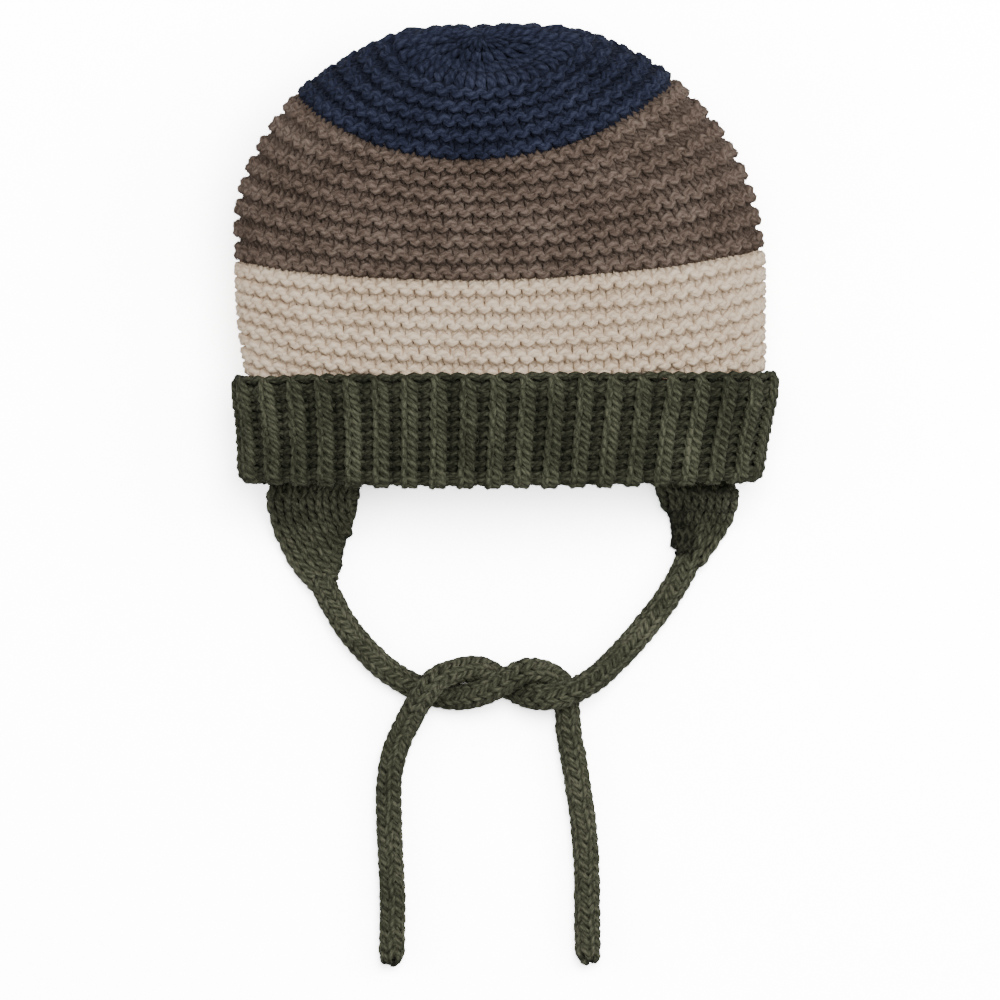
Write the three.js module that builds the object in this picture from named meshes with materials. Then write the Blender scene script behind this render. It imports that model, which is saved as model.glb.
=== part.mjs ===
// Knitted baby hat lying on its back: a striped crown, a turned-up rib cuff, two ear flaps and two tie cords
// with one half knot. Millimetres. +X is the hat's right as seen from above, +Y runs from the rim to the crown,
// +Z points up from the surface that the hat lies on. The origin is on the surface, under the body's middle.
import * as THREE from "three";

// Sizes of the hat body
const HAT_HEIGHT = 161; // from the front of the rim to the crown, as it lies
const HAT_WIDTH = 185; // across the body above the cuff
const HAT_RISE = 82; // highest part of the crown above the surface
const RIM_TO_ORIGIN = 63.5; // the front of the rim lies this far towards -Y
const FABRIC_LENGTH = 186; // along the knitting from the rim to the centre of the crown
const WALL = 4.5; // thickness of the knitted fabric
const PIECE_GAP = 0.3; // between pieces that meet

// Sizes of the knitting that shows as relief
const CREAM_RIDGES = 7;
const TAUPE_RIDGES = 8;
const NAVY_RIDGES = 5;
const RIDGE_RELIEF = 1.1; // depth of the valley between two garter ridges
const RELIEF_RISE = 3; // ridges and ribs are whole from this height above where the back rests
const RIB_COUNT = 42;
const RIB_RELIEF = 1.0; // depth of the valley between two ribs

// Sizes of the cuff
const CUFF_HEIGHT = 38.5; // height of the outer leg
const CUFF_SLIT = 1.0; // air between the outer leg and the body
const INNER_LEG_DROP = 2.5; // the inner leg ends this far below the outer leg's edge

// Ends of the stripes, as shares of FABRIC_LENGTH from the rim
const CREAM_END = 0.4247;
const TAUPE_END = 0.7151;
const NAVY_RIDGES_END = 0.8871;

// Sizes of the flaps and cords
const FLAP_WALL = 4.5;
const FLAP_TIP_WALL = 8;
const TIE_DIAMETER = 9;
const TIE_LIFT = 0.1; // air under a cord
const CROSSING_GAP = 0.95; // air between two cords where they cross

// The crown's inner face is drawn in towards this point. Columns: share of half HAT_WIDTH, share of HAT_HEIGHT from the
// rim, share of HAT_RISE.
const CROWN_CORE = [-0.054, 0.767, 0.549];

// How finely the surfaces are divided
const BODY_DIVISIONS = 48;
const FLAP_DIVISIONS = 6;
const TIE_SIDES = 8;
const TIE_STEPS = 44;

// Rings of the body's outer face. Columns: name, along (share of FABRIC_LENGTH), half width and middle (shares of half
// HAT_WIDTH), side Y (share of HAT_HEIGHT from the rim), lean (the right side lies this far higher up than the middle,
// share of HAT_HEIGHT), side Z (share of HAT_RISE), then Y and Z of the front and of the back, and the lowest Z that
// the ring may have.
const RINGS = [
  ["rim", 0.0, 0.9297, 0.0, 0.0124, 0.0019, 0.2927, 0.0, 0.5976, 0.0186, 0.0305, 0.0671],
  ["cuff_middle", 0.1022, 0.947, 0.013, 0.1273, 0.0025, 0.3171, 0.1211, 0.6463, 0.1304, 0.0305, 0.0671],
  ["cuff_top", 0.207, 0.9795, 0.0205, 0.2422, 0.0037, 0.3415, 0.2453, 0.6951, 0.2516, 0.0244, 0.061],
  ["cream_middle", 0.3118, 0.9989, 0.0043, 0.3696, 0.0075, 0.3659, 0.3447, 0.7439, 0.3981, -0.0366, -0.02],
  ["cream_top", 0.4247, 1.0032, -0.0032, 0.5093, 0.013, 0.3963, 0.4509, 0.7988, 0.5683, -0.0366, 0.0],
  ["taupe_third", 0.5215, 0.9773, -0.0216, 0.6398, 0.0149, 0.439, 0.5404, 0.8598, 0.705, -0.0305, 0.0],
  ["taupe_two_thirds", 0.6183, 0.8811, -0.0368, 0.764, 0.0168, 0.5, 0.6273, 0.9146, 0.8354, 0.0366, 0.0],
  ["taupe_top", 0.7151, 0.7189, -0.0595, 0.877, 0.0174, 0.5732, 0.7099, 0.9634, 0.9348, 0.2073, 0.0],
  ["ridges_middle", 0.8011, 0.5459, -0.0573, 0.9441, 0.0124, 0.6707, 0.795, 1.0, 0.9938, 0.5, 0.0],
  ["ridges_top", 0.8871, 0.3568, -0.0541, 0.9845, 0.0037, 0.8049, 0.8745, 1.0, 1.0019, 0.8049, 0.0],
  ["dimple_side", 0.9462, 0.2, -0.0649, 0.985, 0.0012, 0.82, 0.925, 0.925, 0.998, 0.88, 0.0],
  ["centre", 1.0, 0.0, -0.0681, 0.982, 0.0, 0.885, 0.982, 0.885, 0.982, 0.885, 0.0],
];
const SAG_POWER = 1.6; // how sharply a ring of the body sags at the front
const FRONT_POWER = 0.72; // roundness of the front half of such a ring
const BACK_POWER = 0.55; // roundness of its back half
const CROWN_POWER = 1.05; // all three at the centre of the crown, where the rings are flat ovals

// Flap edges. Columns: left X and Y, right X and Y (X as a share of half HAT_WIDTH, Y as a share of HAT_HEIGHT from the
// rim), lift (share of the inner wall's height), wall (share from FLAP_WALL to FLAP_TIP_WALL).
const LEFT_FLAP = [
  [-0.8324, 0.1087, -0.5405, 0.1087, 1.0, 0.0],
  [-0.8378, 0.0466, -0.5351, 0.0466, 1.0, 0.0],
  [-0.8595, 0.0168, -0.5351, 0.0155, 0.94, 0.0],
  [-0.8800, -0.0155, -0.5384, -0.0155, 0.76, 0.0],
  [-0.8627, -0.0733, -0.5600, -0.0665, 0.3, 0.0],
  [-0.8249, -0.1273, -0.5946, -0.1118, 0.06, 0.05],
  [-0.7762, -0.1770, -0.6141, -0.1553, 0.0, 0.4],
  [-0.7232, -0.2112, -0.6227, -0.1845, 0.0, 1.0],
];
const RIGHT_FLAP = [
  [0.5838, 0.1087, 0.8432, 0.1087, 1.0, 0.0],
  [0.5838, 0.0466, 0.8541, 0.0466, 1.0, 0.0],
  [0.5903, 0.0168, 0.8811, 0.0168, 0.94, 0.0],
  [0.6054, -0.0155, 0.9016, -0.0155, 0.76, 0.0],
  [0.6476, -0.0553, 0.8789, -0.0615, 0.35, 0.0],
  [0.6616, -0.0925, 0.8378, -0.1050, 0.08, 0.2],
  [0.6649, -0.1242, 0.7784, -0.1540, 0.0, 1.0],
];

// Middle lines of the cords from the flap to the free end. Columns: X and Y as for the flaps, and height (0 on the
// surface, 1 lying over the other cord).
const LEFT_TIE = [
  [-0.6719, -0.1997, 0],
  [-0.6368, -0.2410, 0],
  [-0.5870, -0.2907, 0],
  [-0.5146, -0.3429, 0],
  [-0.4162, -0.3944, 0],
  [-0.2800, -0.4360, 0],
  [-0.1665, -0.4491, 0.24],
  [-0.0703, -0.4393, 0.78],
  [0.0119, -0.4168, 1],
  [0.0995, -0.3914, 0.85],
  [0.1870, -0.4012, 0.3],
  [0.2443, -0.4354, 0],
  [0.2551, -0.4814, 0],
  [0.2605, -0.5280, 0],
  [0.2768, -0.5795, 0],
  [0.2984, -0.6553, 0],
  [0.3168, -0.7342, 0],
  [0.3286, -0.8385, 0],
  [0.3297, -0.9429, 0],
  [0.3341, -1.0292, 0],
];
const RIGHT_TIE = [
  [0.7195, -0.1416, 0],
  [0.6843, -0.1839, 0],
  [0.6411, -0.2255, 0],
  [0.5903, -0.2665, 0],
  [0.5189, -0.3168, 0],
  [0.4389, -0.3671, 0.08],
  [0.3524, -0.4112, 0.6],
  [0.2497, -0.4416, 1],
  [0.1503, -0.4491, 0.85],
  [0.0714, -0.4371, 0.24],
  [0.0065, -0.4143, 0],
  [-0.0692, -0.3893, 0.2],
  [-0.1557, -0.3914, 0.62],
  [-0.2400, -0.4106, 1],
  [-0.2984, -0.4528, 0.9],
  [-0.3481, -0.5025, 0.3],
  [-0.3892, -0.5534, 0],
  [-0.4151, -0.6118, 0],
  [-0.4205, -0.6863, 0],
  [-0.4141, -0.7857, 0],
  [-0.4065, -0.8975, 0],
  [-0.4108, -1.0329, 0],
];

function finish(colour) {
  return new THREE.MeshStandardMaterial({ color: new THREE.Color(...colour), roughness: 0.95, metalness: 0 });
}

function toX(share) {
  return (share * HAT_WIDTH) / 2;
}

function toY(share) {
  return share * HAT_HEIGHT - RIM_TO_ORIGIN;
}

// Smooth value of one table column at a place along the fabric.
function columnAt(column, along) {
  let i = 0;
  while (i < RINGS.length - 2 && RINGS[i + 1][1] < along) i++;
  const slope = (a, b) => (RINGS[b][column] - RINGS[a][column]) / (RINGS[b][1] - RINGS[a][1]);
  const tangent = (k) => slope(Math.max(k - 1, 0), Math.min(k + 1, RINGS.length - 1));
  const width = RINGS[i + 1][1] - RINGS[i][1];
  const t = (along - RINGS[i][1]) / width;
  const start = RINGS[i][column];
  const end = RINGS[i + 1][column];
  const startPull = tangent(i) * width;
  const endPull = tangent(i + 1) * width;
  return (
    start * (2 * t ** 3 - 3 * t ** 2 + 1) +
    startPull * (t ** 3 - 2 * t ** 2 + t) +
    end * (3 * t ** 2 - 2 * t ** 3) +
    endPull * (t ** 3 - t ** 2)
  );
}

function ringAt(along) {
  const share = Math.min(Math.max(along, 0), 1);
  const at = (column) => columnAt(column, share);
  return {
    half: toX(Math.max(at(2), 0)),
    middle: toX(at(3)),
    sideY: toY(at(4)),
    lean: at(5) * HAT_HEIGHT,
    sideZ: at(6) * HAT_RISE,
    frontY: toY(at(7)),
    frontZ: at(8) * HAT_RISE,
    backY: toY(at(9)),
    backZ: at(10) * HAT_RISE,
    lowest: Math.max(at(11), 0) * HAT_RISE,
    flatness: THREE.MathUtils.smoothstep(share, TAUPE_END, NAVY_RIDGES_END),
  };
}

// A point of the body's outer face: angle 0 at the right side, a quarter turn at the front.
function pointAtAngle(ring, angle) {
  const across = Math.cos(angle);
  const out = Math.abs(Math.sin(angle));
  const front = Math.sin(angle) >= 0;
  const endY = front ? ring.frontY : ring.backY;
  const endZ = front ? ring.frontZ : ring.backZ;
  const blend = (power) => out ** (power + (CROWN_POWER - power) * ring.flatness);
  return new THREE.Vector3(
    ring.middle + ring.half * across,
    ring.sideY + ring.lean * across + (endY - ring.sideY) * blend(SAG_POWER),
    Math.max(ring.sideZ + (endZ - ring.sideZ) * blend(front ? FRONT_POWER : BACK_POWER), ring.lowest),
  );
}

// Angles that divide the widest ring evenly, so a share of a turn is a share of the way round.
const TURN_ANGLES = (() => {
  const ring = ringAt(CREAM_END);
  const steps = 1440;
  const lengths = [0];
  let last = pointAtAngle(ring, 0);
  for (let i = 1; i <= steps; i++) {
    const next = pointAtAngle(ring, (2 * Math.PI * i) / steps);
    lengths.push(lengths[i - 1] + next.distanceTo(last));
    last = next;
  }
  return lengths.map((length) => length / lengths[steps]);
})();

function angleAt(turn) {
  const share = turn - Math.floor(turn);
  let low = 0;
  let high = TURN_ANGLES.length - 1;
  while (high - low > 1) {
    const middle = (low + high) >> 1;
    if (TURN_ANGLES[middle] <= share) low = middle;
    else high = middle;
  }
  const rest = (share - TURN_ANGLES[low]) / (TURN_ANGLES[high] - TURN_ANGLES[low]);
  return (2 * Math.PI * (low + rest)) / (TURN_ANGLES.length - 1);
}

function bodyPoint(turn, along) {
  return pointAtAngle(ringAt(along), angleAt(turn));
}

function bodyNormal(turn, along) {
  const turnStep = 0.012;
  const alongStep = 0.014;
  const middle = Math.min(Math.max(along, alongStep), 1 - 2 * alongStep);
  const round = bodyPoint(turn + turnStep, middle).sub(bodyPoint(turn - turnStep, middle));
  const up = bodyPoint(turn, middle + alongStep).sub(bodyPoint(turn, middle - alongStep));
  return up.cross(round).normalize();
}

// The point of the body's inner face behind a point of the outer face.
function innerPoint(turn, distance) {
  const along = distance / FABRIC_LENGTH;
  const outer = bodyPoint(turn, along);
  const core = new THREE.Vector3(toX(CROWN_CORE[0]), toY(CROWN_CORE[1]), CROWN_CORE[2] * HAT_RISE);
  const inward = bodyNormal(turn, along).negate().lerp(core.sub(outer).normalize(), ringAt(along).flatness);
  const point = outer.addScaledVector(inward.normalize(), WALL);
  point.z = Math.max(point.z, WALL);
  return point;
}

// A point off the body's outer face, kept at least `floor` above the surface. Relief goes inwards, and is pressed
// flat where the body rests on its back.
function offBody(turn, distance, offset, relief, floor) {
  const along = distance / FABRIC_LENGTH;
  const point = bodyPoint(turn, along);
  const pressed = 1 - THREE.MathUtils.smoothstep(point.z - ringAt(along).lowest, 0, RELIEF_RISE);
  const reach = offset - relief * (1 - pressed);
  point.addScaledVector(bodyNormal(turn, along), reach);
  point.z = Math.max(point.z, floor);
  return point;
}

// Closed mesh from rings of points. Each ring joins the next one; `closed` joins the last to the first, and
// otherwise both ends are filled with a fan.
function meshFromRings(name, rings, closed, material) {
  const count = rings[0].length;
  const positions = rings.flat();
  const faces = [];
  const steps = closed ? rings.length : rings.length - 1;
  for (let i = 0; i < steps; i++) {
    const next = (i + 1) % rings.length;
    for (let j = 0; j < count; j++) {
      const k = (j + 1) % count;
      const [a, b, c, d] = [i * count + j, i * count + k, next * count + k, next * count + j];
      faces.push([a, b, c], [a, c, d]);
    }
  }
  if (!closed) {
    for (const [ring, first, turned] of [[rings[0], 0, true], [rings.at(-1), (rings.length - 1) * count, false]]) {
      const centre = positions.length;
      positions.push(ring.reduce((sum, p) => sum.add(p), new THREE.Vector3()).divideScalar(count));
      for (let j = 0; j < count; j++) {
        const k = (j + 1) % count;
        faces.push(turned ? [centre, first + k, first + j] : [centre, first + j, first + k]);
      }
    }
  }
  let volume = 0;
  for (const [a, b, c] of faces) {
    volume += positions[a].dot(positions[b].clone().cross(positions[c]));
  }
  const geometry = new THREE.BufferGeometry();
  geometry.setAttribute("position", new THREE.Float32BufferAttribute(positions.flatMap((p) => p.toArray()), 3));
  geometry.setIndex((volume < 0 ? faces.map(([a, b, c]) => [a, c, b]) : faces).flat());
  geometry.computeVertexNormals();
  const mesh = new THREE.Mesh(geometry, material);
  mesh.name = name;
  return mesh;
}

function bodyRing(pointAtTurn) {
  const ring = [];
  for (let j = 0; j < BODY_DIVISIONS; j++) ring.push(pointAtTurn((j + 0.5) / BODY_DIVISIONS));
  return ring;
}

function outerRings(rows) {
  return rows.map(([distance, relief]) => bodyRing((turn) => offBody(turn, distance, 0, relief, 0)));
}

// Rows of a garter band: a valley at each end and between two ridges.
function ridgeRows(start, end, count) {
  const rows = [];
  for (let k = 0; k <= 2 * count; k++) {
    rows.push([start + ((end - start) * k) / (2 * count), k % 2 ? 0 : RIDGE_RELIEF]);
  }
  return rows;
}

// Rings of the inner face, from the far end back to the start.
function innerRings(start, end, count) {
  const rings = [];
  for (let k = count; k >= 0; k--) {
    rings.push(bodyRing((turn) => innerPoint(turn, start + ((end - start) * k) / count)));
  }
  return rings;
}

function band(name, outerRows, innerCount, material) {
  const inner = innerRings(outerRows[0][0], outerRows.at(-1)[0], innerCount);
  return meshFromRings(name, [...outerRings(outerRows), ...inner], true, material);
}

const innerLegTop = CUFF_HEIGHT - INNER_LEG_DROP;
const creamEnd = CREAM_END * FABRIC_LENGTH;
const taupeEnd = TAUPE_END * FABRIC_LENGTH;
const navyRidgesEnd = NAVY_RIDGES_END * FABRIC_LENGTH;

function creamBand(material) {
  const rows = [
    [innerLegTop + PIECE_GAP, RIDGE_RELIEF],
    ...ridgeRows(CUFF_HEIGHT + PIECE_GAP, creamEnd - PIECE_GAP / 2, CREAM_RIDGES),
  ];
  return band("band_cream", rows, 5, material);
}

function taupeBand(material) {
  return band("band_taupe", ridgeRows(creamEnd + PIECE_GAP / 2, taupeEnd - PIECE_GAP / 2, TAUPE_RIDGES), 6, material);
}

// The crown's two faces both end in a fan at its centre.
function crownTop(material) {
  const start = taupeEnd + PIECE_GAP / 2;
  const plain = FABRIC_LENGTH - navyRidgesEnd;
  const outerRows = [
    ...ridgeRows(start, navyRidgesEnd, NAVY_RIDGES),
    [navyRidgesEnd + plain * 0.2, RIDGE_RELIEF / 2],
    [navyRidgesEnd + plain * 0.42, RIDGE_RELIEF / 2],
    [navyRidgesEnd + plain * 0.64, RIDGE_RELIEF / 2],
    [navyRidgesEnd + plain * 0.86, RIDGE_RELIEF / 2],
  ];
  const inner = innerRings(start, navyRidgesEnd + plain * 0.7, 7);
  return meshFromRings("crown_top", [...outerRings(outerRows).reverse(), ...inner.reverse()], false, material);
}

// The cuff's section: down the outer leg, round the fold, up the inner leg and down into the slit. Columns: distance
// from the rim, offset from the body's outer face, share of the rib relief.
function cuff(material) {
  const foldRadius = (WALL * 2 + CUFF_SLIT) / 2;
  const foldMiddle = CUFF_SLIT + WALL - foldRadius;
  const outerFace = CUFF_SLIT + WALL;
  const section = [
    [CUFF_HEIGHT, CUFF_SLIT, 0],
    [CUFF_HEIGHT, outerFace, 1],
    [CUFF_HEIGHT * 0.55, outerFace, 1],
    [foldRadius, outerFace, 1],
    [foldRadius * 0.29, foldMiddle + foldRadius * 0.71, 1],
    [0, foldMiddle, 1],
    [foldRadius * 0.29, foldMiddle - foldRadius * 0.71, 0],
    [foldRadius, -WALL, 0],
    [innerLegTop, -WALL, 0],
    [innerLegTop, 0, 0],
    [foldRadius, 0, 0],
    [foldRadius, CUFF_SLIT, 0],
  ];
  const perRib = 3;
  const rings = section.map(([distance, offset, ribs]) => {
    const ring = [];
    for (let j = 0; j < RIB_COUNT * perRib; j++) {
      const relief = j % perRib === perRib - 1 ? RIB_RELIEF * ribs : 0;
      const low = offset < 0 ? WALL : 0;
      ring.push(offBody(j / (RIB_COUNT * perRib), distance, offset, relief, low));
    }
    return ring;
  });
  return meshFromRings("cuff", rings, true, material);
}

// Height of the cuff's inner face on the back half, above a place (x, y).
function innerFaceHeight(x, y) {
  const rim = ringAt(0);
  const top = ringAt(innerLegTop / FABRIC_LENGTH);
  const share = (y - rim.backY) / (top.backY - rim.backY);
  const distance = Math.max(share, 0.14) * innerLegTop;
  const places = [];
  for (let turn = 0.5; turn <= 1.0001; turn += 0.005) places.push(offBody(turn, distance, -WALL, 0, WALL));
  places.sort((a, b) => a.x - b.x);
  const inside = Math.min(Math.max(x, places[0].x), places.at(-1).x);
  const i = Math.max(1, places.findIndex((p) => p.x >= inside));
  const part = (inside - places[i - 1].x) / Math.max(places[i].x - places[i - 1].x, 1e-6);
  return places[i - 1].z + (places[i].z - places[i - 1].z) * part;
}

function flap(name, table, material) {
  const rings = table.map(([leftX, leftY, rightX, rightY, lift, tip]) => {
    const wall = FLAP_WALL + (FLAP_TIP_WALL - FLAP_WALL) * tip;
    const under = [];
    for (let j = 0; j <= FLAP_DIVISIONS; j++) {
      const share = j / FLAP_DIVISIONS;
      const x = toX(leftX + (rightX - leftX) * share);
      const y = toY(leftY + (rightY - leftY) * share);
      under.push(new THREE.Vector3(x, y, lift * (innerFaceHeight(x, y) + PIECE_GAP)));
    }
    const over = under.map((p) => p.clone().setZ(p.z + wall)).reverse();
    return [...under, ...over];
  });
  return meshFromRings(name, rings, false, material);
}

function tie(name, table, material) {
  const low = TIE_DIAMETER / 2 + TIE_LIFT;
  const step = TIE_DIAMETER + CROSSING_GAP;
  const points = table.map(([x, y, height]) => new THREE.Vector3(toX(x), toY(y), low + height * step));
  const path = new THREE.CatmullRomCurve3(points, false, "centripetal");
  const section = new THREE.Shape();
  for (let j = 0; j < TIE_SIDES; j++) {
    const angle = (2 * Math.PI * j) / TIE_SIDES;
    const [x, y] = [Math.cos(angle), Math.sin(angle)].map((part) => (part * TIE_DIAMETER) / 2);
    if (j === 0) section.moveTo(x, y);
    else section.lineTo(x, y);
  }
  section.closePath();
  const mesh = new THREE.Mesh(
    new THREE.ExtrudeGeometry(section, { steps: TIE_STEPS, bevelEnabled: false, extrudePath: path }),
    material,
  );
  mesh.name = name;
  return mesh;
}

const hat = new THREE.Group();
hat.name = "baby_hat";
const navy = finish([0.016, 0.02, 0.038]);
const taupe = finish([0.107, 0.076, 0.06]);
const cream = finish([0.515, 0.429, 0.352]);
const green = finish([0.033, 0.034, 0.022]);
hat.add(
  crownTop(navy),
  taupeBand(taupe),
  creamBand(cream),
  cuff(green),
  flap("ear_flap_left", LEFT_FLAP, green),
  flap("ear_flap_right", RIGHT_FLAP, green),
  tie("tie_left", LEFT_TIE, green),
  tie("tie_right", RIGHT_TIE, green),
);

export default hat;
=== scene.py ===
"""Knitted baby hat lying on its back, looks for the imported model. Lengths are in metres.

The knitting is laid out as course lines on the model's surfaces. Each line carries its directions as
attributes, and one Geometry Nodes tree bends every line into loops and thickens it into yarn.
"""
import math

import bmesh
import bpy
import numpy as np
from bpy.props import FloatProperty, IntProperty, PointerProperty
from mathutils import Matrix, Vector


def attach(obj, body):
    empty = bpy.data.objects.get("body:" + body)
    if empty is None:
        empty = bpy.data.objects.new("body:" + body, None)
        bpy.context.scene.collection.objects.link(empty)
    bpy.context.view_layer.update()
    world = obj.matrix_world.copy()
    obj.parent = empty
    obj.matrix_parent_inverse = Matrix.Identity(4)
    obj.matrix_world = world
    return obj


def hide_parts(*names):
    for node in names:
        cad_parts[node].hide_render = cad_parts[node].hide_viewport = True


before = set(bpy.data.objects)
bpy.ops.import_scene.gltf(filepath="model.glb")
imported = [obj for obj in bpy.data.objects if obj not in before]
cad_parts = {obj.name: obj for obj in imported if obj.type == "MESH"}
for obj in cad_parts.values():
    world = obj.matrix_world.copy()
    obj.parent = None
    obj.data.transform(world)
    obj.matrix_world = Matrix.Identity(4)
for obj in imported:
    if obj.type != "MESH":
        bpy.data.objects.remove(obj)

bl_info = {
    "name": "Knitted baby hat",
    "version": (1, 0, 0),
    "blender": (4, 5, 0),
    "location": "3D View > Sidebar > Hat",
    "description": "Builds the yarn, fabric and stage of a knitted baby hat",
    "category": "Object",
}

TAU = 2 * math.pi

# Sizes of the body, as in the model
HAT_HEIGHT = 0.161
HAT_WIDTH = 0.185
HAT_RISE = 0.082
RIM_TO_ORIGIN = 0.0635
FABRIC_LENGTH = 0.186
WALL = 0.0045
CUFF_HEIGHT = 0.0385
CUFF_SLIT = 0.001
CREAM_END = 0.4247 * FABRIC_LENGTH
TAUPE_END = 0.7151 * FABRIC_LENGTH
NAVY_RIDGES_END = 0.8871 * FABRIC_LENGTH
TIE_DIAMETER = 0.009
TIE_LIFT = 0.0001
CROSSING_GAP = 0.00095

# Points of a course line for each stitch
PER_STITCH = 10
# Row height and stitch width that yarn of full thickness fills
FULL_ROW = 0.0026
FULL_STITCH = 0.0044
# Depths of the fabric behind the yarn under the outer face: its outer and its inner side
GROUND_DEPTH = 0.0031
INNER_DEPTH = WALL - 0.0001
# Length of yarn in which its plies wind round once, and how much painted shade a rib's depth adds to the yarn
PLY_LENGTH = 0.0032
RIB_SHADE = 1.5

# Rings of the body's outer face, in the model's shares. Columns: along, half width, middle, side Y, lean,
# side Z, front Y, front Z, back Y, back Z, lowest Z. The gathered centre lies further out and higher.
RINGS = np.array([
    [0.0, 0.9297, 0.0, 0.0124, 0.0019, 0.2927, 0.0, 0.5976, 0.0186, 0.0305, 0.0671],
    [0.1022, 0.947, 0.013, 0.1273, 0.0025, 0.3171, 0.1211, 0.6463, 0.1304, 0.0305, 0.0671],
    [0.207, 0.9795, 0.0205, 0.2422, 0.0037, 0.3415, 0.2453, 0.6951, 0.2516, 0.0244, 0.061],
    [0.3118, 0.9989, 0.0043, 0.3696, 0.0075, 0.3659, 0.3447, 0.7439, 0.3981, -0.0366, -0.02],
    [0.4247, 1.0032, -0.0032, 0.5093, 0.013, 0.3963, 0.4509, 0.7988, 0.5683, -0.0366, 0.0],
    [0.5215, 0.9773, -0.0216, 0.6398, 0.0149, 0.439, 0.5404, 0.8598, 0.705, -0.0305, 0.0],
    [0.6183, 0.8811, -0.0368, 0.764, 0.0168, 0.5, 0.6273, 0.9146, 0.8354, 0.0366, 0.0],
    [0.7151, 0.7189, -0.0595, 0.877, 0.0174, 0.5732, 0.7099, 0.9634, 0.9348, 0.2073, 0.0],
    [0.8011, 0.5459, -0.0573, 0.9441, 0.0124, 0.6707, 0.795, 1.0, 0.9938, 0.5, 0.0],
    [0.8871, 0.3568, -0.0541, 0.9845, 0.0037, 0.835, 0.8745, 1.0, 1.0019, 0.835, 0.0],
    [0.9462, 0.2, -0.0649, 0.992, 0.0012, 0.89, 0.934, 0.86, 1.002, 0.9, 0.0],
    [1.0, 0.0, -0.0681, 0.996, 0.0, 0.955, 0.996, 0.955, 0.996, 0.955, 0.0],
])
SAG_POWER = 1.6
FRONT_POWER = 0.72
BACK_POWER = 0.55
CROWN_POWER = 1.05

# Dips beside the gathered centre. Columns: X, Y, half length, half breadth and depth.
HOLLOWS = [
    (-0.026, 0.0855, 0.0105, 0.0055, 0.0045),
    (0.0115, 0.0868, 0.0095, 0.005, 0.0045),
]

# Middle lines of the cords, as in the model. Columns: X (share of half the width), Y (share of the height
# from the rim) and height (1 lying over the other cord).
LEFT_TIE = [
    [-0.6719, -0.1997, 0], [-0.6368, -0.241, 0], [-0.587, -0.2907, 0], [-0.5146, -0.3429, 0],
    [-0.4162, -0.3944, 0], [-0.28, -0.436, 0], [-0.1665, -0.4491, 0.24], [-0.0703, -0.4393, 0.78],
    [0.0119, -0.4168, 1], [0.0995, -0.3914, 0.85], [0.187, -0.4012, 0.3], [0.2443, -0.4354, 0],
    [0.2551, -0.4814, 0], [0.2605, -0.528, 0], [0.2768, -0.5795, 0], [0.2984, -0.6553, 0],
    [0.3168, -0.7342, 0], [0.3286, -0.8385, 0], [0.3297, -0.9429, 0], [0.3341, -1.0292, 0],
]
RIGHT_TIE = [
    [0.7195, -0.1416, 0], [0.6843, -0.1839, 0], [0.6411, -0.2255, 0], [0.5903, -0.2665, 0],
    [0.5189, -0.3168, 0], [0.4389, -0.3671, 0.08], [0.3524, -0.4112, 0.6], [0.2497, -0.4416, 1],
    [0.1503, -0.4491, 0.85], [0.0714, -0.4371, 0.24], [0.0065, -0.4143, 0], [-0.0692, -0.3893, 0.2],
    [-0.1557, -0.3914, 0.62], [-0.24, -0.4106, 1], [-0.2984, -0.4528, 0.9], [-0.3481, -0.5025, 0.3],
    [-0.3892, -0.5534, 0], [-0.4151, -0.6118, 0], [-0.4205, -0.6863, 0], [-0.4141, -0.7857, 0],
    [-0.4065, -0.8975, 0], [-0.4108, -1.0329, 0],
]

# Flap edges, as in the model. Columns: left X and Y, right X and Y (shares as above), lift, wall share.
LEFT_FLAP = [
    [-0.8378, 0.0466, -0.5351, 0.0466, 1.0, 0.0],
    [-0.8595, 0.0168, -0.5351, 0.0155, 0.94, 0.0],
    [-0.8800, -0.0155, -0.5384, -0.0155, 0.76, 0.0],
    [-0.8627, -0.0733, -0.5600, -0.0665, 0.3, 0.0],
    [-0.8249, -0.1273, -0.5946, -0.1118, 0.06, 0.05],
    [-0.7762, -0.1770, -0.6141, -0.1553, 0.0, 0.4],
    [-0.7232, -0.2112, -0.6227, -0.1845, 0.0, 1.0],
]
RIGHT_FLAP = [
    [0.5838, 0.0466, 0.8541, 0.0466, 1.0, 0.0],
    [0.5903, 0.0168, 0.8811, 0.0168, 0.94, 0.0],
    [0.6054, -0.0155, 0.9016, -0.0155, 0.76, 0.0],
    [0.6476, -0.0553, 0.8789, -0.0615, 0.35, 0.0],
    [0.6616, -0.0925, 0.8378, -0.1050, 0.08, 0.2],
    [0.6649, -0.1242, 0.7784, -0.1540, 0.0, 1.0],
]


# Shape of the body

def to_x(share):
    return share * HAT_WIDTH / 2


def to_y(share):
    return share * HAT_HEIGHT - RIM_TO_ORIGIN


def smoothstep(value, low, high):
    share = np.clip((value - low) / (high - low), 0, 1)
    return share * share * (3 - 2 * share)


def columns_at(table, place):
    """Smooth values of all table columns at places along the first one."""
    knots, values = table[:, 0], table[:, 1:]
    count = len(knots)
    before = np.maximum(np.arange(count) - 1, 0)
    after = np.minimum(np.arange(count) + 1, count - 1)
    tangents = (values[after] - values[before]) / (knots[after] - knots[before])[:, None]
    place = np.clip(place, knots[0], knots[-1])
    i = np.clip(np.searchsorted(knots, place, side="right") - 1, 0, count - 2)
    width = (knots[i + 1] - knots[i])[..., None]
    t = (place - knots[i])[..., None] / width
    return (
        values[i] * (2 * t**3 - 3 * t**2 + 1)
        + tangents[i] * width * (t**3 - 2 * t**2 + t)
        + values[i + 1] * (3 * t**2 - 2 * t**3)
        + tangents[i + 1] * width * (t**3 - t**2)
    )


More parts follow.
